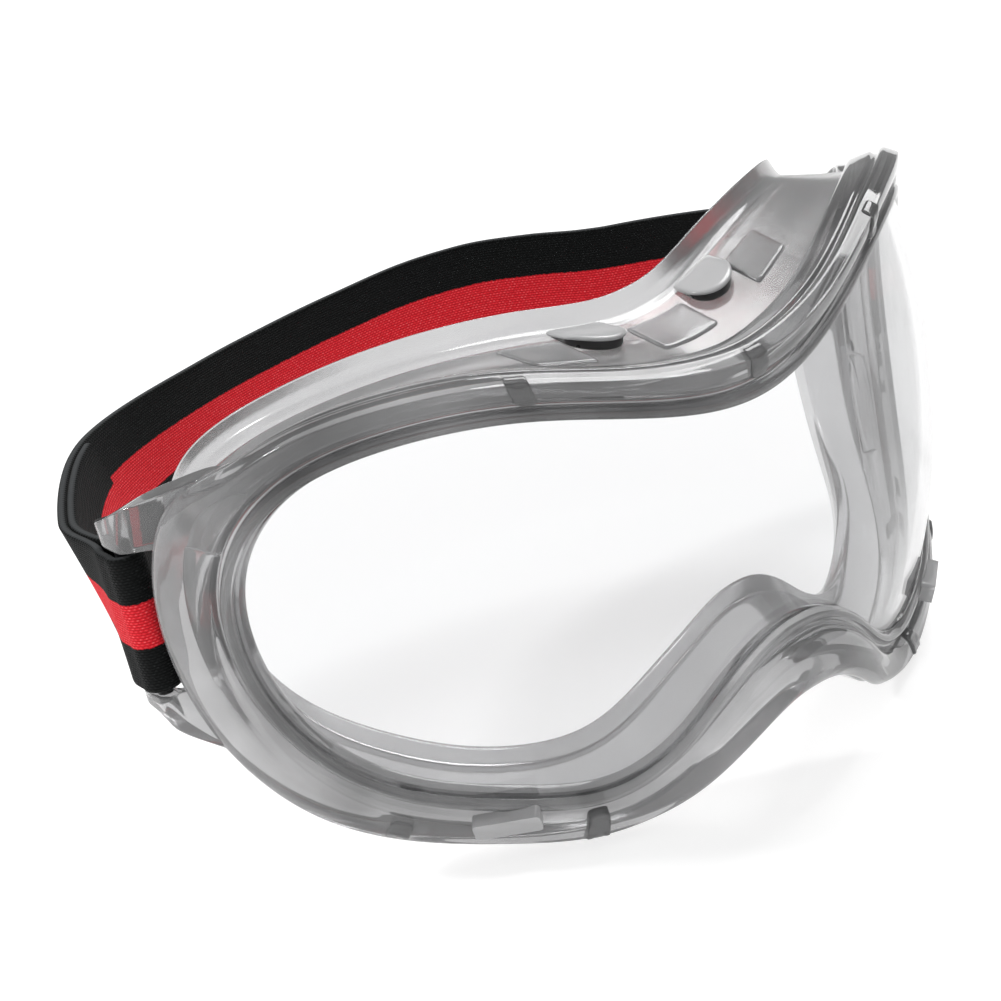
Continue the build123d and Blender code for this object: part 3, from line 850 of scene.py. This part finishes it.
def woven(name):
    """Knitted elastic: a red stripe between two black ones, ribs along it and picks across it."""
    material, tree, shader = new_material(name)
    uv = node(tree, "ShaderNodeUVMap", uv_map="uv")
    split = node(tree, "ShaderNodeSeparateXYZ")
    tree.links.new(uv.outputs["UV"], split.inputs["Vector"])

    def math_node(operation, a, b=None):
        made = node(tree, "ShaderNodeMath", operation=operation)
        for socket, value in zip(made.inputs, (a, b)):
            if value is None:
                continue
            if isinstance(value, (int, float)):
                socket.default_value = value
            else:
                tree.links.new(value, socket)
        return made.outputs[0]

    def beyond(limit, value, start, slope):
        """0 before start, and 1 a little beyond it."""
        climb = math_node("MULTIPLY", math_node("SUBTRACT", value, start), slope)
        return math_node(limit, 1.0, math_node("MAXIMUM", 0.0, climb))

    # the stripes, with a slightly ragged edge
    wobble = noise(tree, 260, 2, 0.6, uv.outputs["UV"])
    ragged = math_node("MULTIPLY", math_node("SUBTRACT", wobble.outputs["Fac"], 0.5), 0.006)
    distance = math_node("ADD", math_node("ABSOLUTE", split.outputs["Y"]), ragged)
    red_share = math_node("SUBTRACT", 1.0, beyond("SMOOTH_MIN", distance, STRIPE_EDGE, 900))

    # the knit: rows 0.5 mm apart, stitches 0.7 mm long, each row half a stitch on
    row = math_node("MULTIPLY", split.outputs["Y"], KNIT_ROWS)
    row_index = math_node("FLOOR", row)
    row_wave = math_node("ABSOLUTE", math_node("SINE", math_node("MULTIPLY", row, math.pi)))
    along = math_node("ADD", math_node("MULTIPLY", split.outputs["X"], KNIT_STITCHES),
                      math_node("MULTIPLY", row_index, 0.5))
    pick_wave = math_node("ABSOLUTE", math_node("SINE", math_node("MULTIPLY", along, math.pi)))
    height = math_node("MULTIPLY", row_wave,
                       math_node("ADD", 0.35, math_node("MULTIPLY", pick_wave, 0.65)))

    fibre = noise(tree, 420, 3, 0.7, uv.outputs["UV"])
    fleck = noise(tree, 150, 2, 0.8, uv.outputs["UV"])
    # The colour follows the knit's height times a random fleck: darker in the hollows and paler on
    # the crests, up to pink on the red. This is painted shade and painted highlight.
    lift = math_node("MULTIPLY", height, fleck.outputs["Fac"])
    black = ramp(tree, lift, [(0.1, (0.002, 0.0024, 0.0025)), (0.45, (0.0045, 0.0055, 0.0055)),
                              (0.72, (0.03, 0.033, 0.033))])
    red = ramp(tree, lift, [(0.08, (0.62, 0.010, 0.018)), (0.4, (0.93, 0.028, 0.045)),
                            (0.75, (1.0, 0.24, 0.25))])
    stripes = node(tree, "ShaderNodeMix", data_type="RGBA")
    tree.links.new(red_share, stripes.inputs[FACTOR_IN])
    tree.links.new(black.outputs["Color"], stripes.inputs[FIRST_IN])
    tree.links.new(red.outputs["Color"], stripes.inputs[SECOND_IN])
    # the upper selvedge is painted slightly paler: a painted highlight along the top edge
    top_edge_highlight = beyond("MINIMUM", split.outputs["Y"], SELVEDGE, 700)
    edge = node(tree, "ShaderNodeMix", data_type="RGBA")
    tree.links.new(top_edge_highlight, edge.inputs[FACTOR_IN])
    tree.links.new(stripes.outputs[COLOUR_OUT], edge.inputs[FIRST_IN])
    edge.inputs[SECOND_IN].default_value = (0.05, 0.053, 0.055, 1)
    tree.links.new(edge.outputs[COLOUR_OUT], shader.inputs["Base Color"])
    shader.inputs["Roughness"].default_value = 0.86
    shader.inputs["Specular IOR Level"].default_value = 0.16
    shader.inputs["Sheen Weight"].default_value = 0.04
    shader.inputs["Sheen Roughness"].default_value = 0.45
    relief = math_node("ADD", height, math_node("MULTIPLY", fibre.outputs["Fac"], 0.35))
    bump(tree, shader, relief, 0.75, 0.00022)
    return material


def moulded(name, colour, rough):
    """Hard moulded plastic: a faint grain and slightly worn gloss."""
    material, tree, shader = new_material(name)
    patches = noise(tree, 90, 4, 0.6)
    low = tuple(c * 0.85 for c in colour)
    high = tuple(min(1, c * 1.15) for c in colour)
    tone = ramp(tree, patches.outputs["Fac"], [(0.3, low), (0.7, high)])
    tree.links.new(tone.outputs["Color"], shader.inputs["Base Color"])
    wear = noise(tree, 300, 3, 0.6)
    vary_roughness(tree, shader, wear, (0.3, 0.7), (rough * 0.75, rough * 1.3))
    bump(tree, shader, noise(tree, 1400, 2, 0.5).outputs["Fac"], 0.1, 0.0002)
    return material


def finish_node(name, material, bevel):
    """A carried-over CAD node: edges eased by a bevel in mm, and a real finish."""
    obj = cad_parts[name]
    weld = obj.modifiers.new("weld", "WELD")
    weld.merge_threshold = 0.005 * MM
    ease = obj.modifiers.new("eased_edges", "BEVEL")
    ease.width, ease.segments, ease.limit_method = bevel * MM, 3, "ANGLE"
    ease.angle_limit = math.radians(35)
    for holder in obj.material_slots:
        holder.material = material


# ---- making -------------------------------------------------------------------------------------
# dark and light tone, transmission and roughness of each soft plastic
frame_pvc = soft_pvc("frame_soft_pvc", 0.20, 0.66, 0.76, 0.06)
skirt_pvc = soft_pvc("skirt_soft_pvc", 0.60, 0.70, 0.85, 0.16)
hood_pvc = soft_pvc("hood_soft_pvc", 0.60, 0.72, 0.3, 0.16)
# a dark tone for the sheet under each hood's lip, which is painted shadow
shadow_sheet_pvc = soft_pvc("painted_shadow_pvc", 0.03, 0.05, 0.2, 0.3)
peg_plastic = soft_pvc("peg_soft_plastic", 0.28, 0.36, 0.75, 0.12)
insert_plastic = soft_pvc("insert_soft_plastic", 0.62, 0.70, 0.5, 0.22)
glass = clear_lens()
webbing = woven("strap_knit")
black_plastic = moulded("black_moulding", (0.018, 0.018, 0.02), 0.32)
thread = moulded("black_thread", (0.012, 0.012, 0.013), 0.8)

fit_out(make_rim(), "goggles", "frame_pvc", frame_pvc, "front_frame")

skirt = ring_object("skirt_shell", skirt_rows(T, R))
shade(skirt, 50)
fit_out(skirt, "goggles", "skirt_pvc", skirt_pvc, "face_skirt")

# each hood comes with a dark sheet of painted shadow under its lip
for side, x in (("left", HOOD_X), ("right", -HOOD_X)):
    hood, shadow_sheet = make_hood(f"vent_hood_{side}", f"vent_painted_shadow_{side}", x)
    fit_out(hood, "goggles", "skirt_pvc", hood_pvc, f"top_vent_hood_{side}")
    fit_out(shadow_sheet, "goggles", "frame_pvc", shadow_sheet_pvc)
for side, (x, half) in PANELS.items():
    fit_out(make_panel(f"skirt_panel_{side}", x, half), "goggles", "skirt_pvc", skirt_pvc)

fit_out(make_lens(), "goggles", "lens_clear", glass, "lens")

for where, (arc, height) in TABS.items():
    fit_out(make_tab(f"peg_tab_{where}", arc, height), "goggles", "peg_plastic", peg_plastic,
            f"lens_peg_{where}")

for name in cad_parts:
    if name.startswith("lower_insert"):
        finish_node(name, insert_plastic, 0.2)
    elif name.startswith("strap_bar"):
        finish_node(name, black_plastic, 0.2)
finish_node("slider", black_plastic, 0.4)

fit_out(make_strap(), "strap", "strap_webbing", webbing,
        "strap_band", "strap_loop_left", "strap_loop_right", "strap_fold_right")
fit_out(make_threads(), "strap", "thread", thread, "strap_stitching")
fit_out(make_slider_loop(), "slider", "strap_webbing", webbing, "slider_loop")

# ---- camera, light and floor --------------------------------------------------------------------
scene = bpy.context.scene
VIEW_TURN, VIEW_LIFT, VIEW_ROLL = math.radians(-31.7), math.radians(21.2), math.radians(14.5)
VIEW_AIM, VIEW_DISTANCE = Vector((0, 30, 0)), 523.8
VIEW_ASIDE, VIEW_BELOW = 27.8, 12.0          # the eye's shift, left and down in the picture
HALF_VIEW = 500.5 / 3129                     # half the picture's width over its focal length
back = Vector((math.sin(VIEW_TURN) * math.cos(VIEW_LIFT),
               -math.cos(VIEW_TURN) * math.cos(VIEW_LIFT), math.sin(VIEW_LIFT)))
right = Vector((math.cos(VIEW_TURN), math.sin(VIEW_TURN), 0))
up = back.cross(right)
image_x = right * math.cos(VIEW_ROLL) - up * math.sin(VIEW_ROLL)
image_y = right * math.sin(VIEW_ROLL) + up * math.cos(VIEW_ROLL)
eye = (VIEW_AIM + back * VIEW_DISTANCE - image_x * VIEW_ASIDE - image_y * VIEW_BELOW) * MM
camera_data = bpy.data.cameras.new("camera")
camera = bpy.data.objects.new("camera", camera_data)
scene.collection.objects.link(camera)
camera.matrix_world = Matrix((
    (image_x.x, image_y.x, back.x, eye.x),
    (image_x.y, image_y.y, back.y, eye.y),
    (image_x.z, image_y.z, back.z, eye.z),
    (0, 0, 0, 1)))
camera_data.sensor_width = 36
camera_data.angle = 2 * math.atan(HALF_VIEW)
camera_data.clip_start = 0.01
camera_data.clip_end = 50
scene.camera = camera

world = bpy.data.worlds.new("studio")
world.use_nodes = True
sky = world.node_tree.nodes["Background"].inputs
sky["Color"].default_value, sky["Strength"].default_value = (1, 1, 1, 1), 0.32
scene.world = world
scene.view_settings.view_transform = "Standard"

# soft lights, as from large softboxes: direction, strength and spread in degrees
SUNS = {
    "key": ((0.75, 0.35, 1.0), 1.9, 30),
    "fill": ((-0.5, -1.0, 0.9), 0.6, 60),
    "rim": ((-0.7, 0.7, 0.8), 1.3, 8),
}
for name, (toward, strength, spread) in SUNS.items():
    light = bpy.data.lights.new(name, "SUN")
    light.energy, light.angle = strength, math.radians(spread)
    obj = bpy.data.objects.new(name, light)
    scene.collection.objects.link(obj)
    obj.rotation_euler = Vector(toward).to_track_quat("Z", "Y").to_euler()

FLOOR_REACH, FLOOR_DROP = 6.0, 0.002         # half width, and gap under the goggles, in metres
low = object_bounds()[0][2]
floor_mesh = bpy.data.meshes.new("floor")
floor_mesh.from_pydata([(x * FLOOR_REACH, y * FLOOR_REACH, 0)
                        for x, y in ((-1, -1), (1, -1), (1, 1), (-1, 1))], [], [(0, 1, 2, 3)])
floor = bpy.data.objects.new("floor", floor_mesh)
scene.collection.objects.link(floor)
floor.location = (0, 0, low - FLOOR_DROP)
paper, _, paper_shader = new_material("paper")
paper_shader.inputs["Base Color"].default_value = (0.45, 0.45, 0.45, 1)
paper_shader.inputs["Emission Color"].default_value = (1, 1, 1, 1)
paper_shader.inputs["Emission Strength"].default_value = 0.72
paper_shader.inputs["Roughness"].default_value = 0.9
floor_mesh.materials.append(paper)
